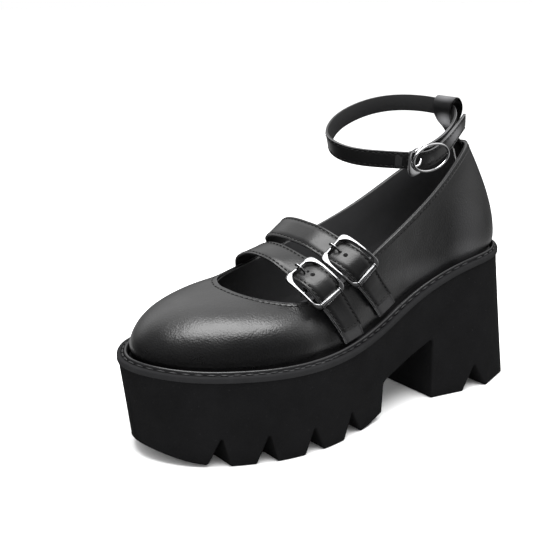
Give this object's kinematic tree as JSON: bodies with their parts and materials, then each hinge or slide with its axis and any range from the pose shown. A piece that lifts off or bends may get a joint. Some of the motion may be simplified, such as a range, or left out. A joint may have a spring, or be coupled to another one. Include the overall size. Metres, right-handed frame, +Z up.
{
  "type": "platform mary jane shoe",
  "caption": "Chunky platform ankle-strap shoe with a closed round toe, buckled straps over the instep and a cleated block sole.",
  "frame": {"origin": "middle of the shoe's box in plan, on the floor that the treads stand on", "axes": "+Z up, +Y from toe to heel, +X to the outer side of a left shoe"},
  "size_m": [0.1006, 0.2574, 0.171],
  "materials": {
    "sole_foam": "matte moulded foam rubber, near black",
    "welt_rubber": "satin dark grey rubber with a raised stitch line",
    "upper_leather": "smooth black coated leather, satin to semi-gloss",
    "strap_leather": "smooth black coated leather, satin, edge stitched",
    "lining": "matte black lining",
    "nickel": "polished nickel plate"
  },
  "bodies": {
    "root": {"outsole": "sole_foam", "welt": "welt_rubber", "insole": "lining", "upper": "upper_leather", "instep_strap_front": "strap_leather", "instep_strap_rear": "strap_leather", "chape_front": "strap_leather", "chape_rear": "strap_leather", "buckle_front": "nickel", "buckle_rear": "nickel", "prong_front": "nickel", "prong_rear": "nickel", "ankle_strap": "strap_leather", "ankle_buckle": "nickel", "ankle_plate": "nickel", "ankle_prong": "nickel", "heel_tab": "strap_leather"}
  },
  "joints": []
}
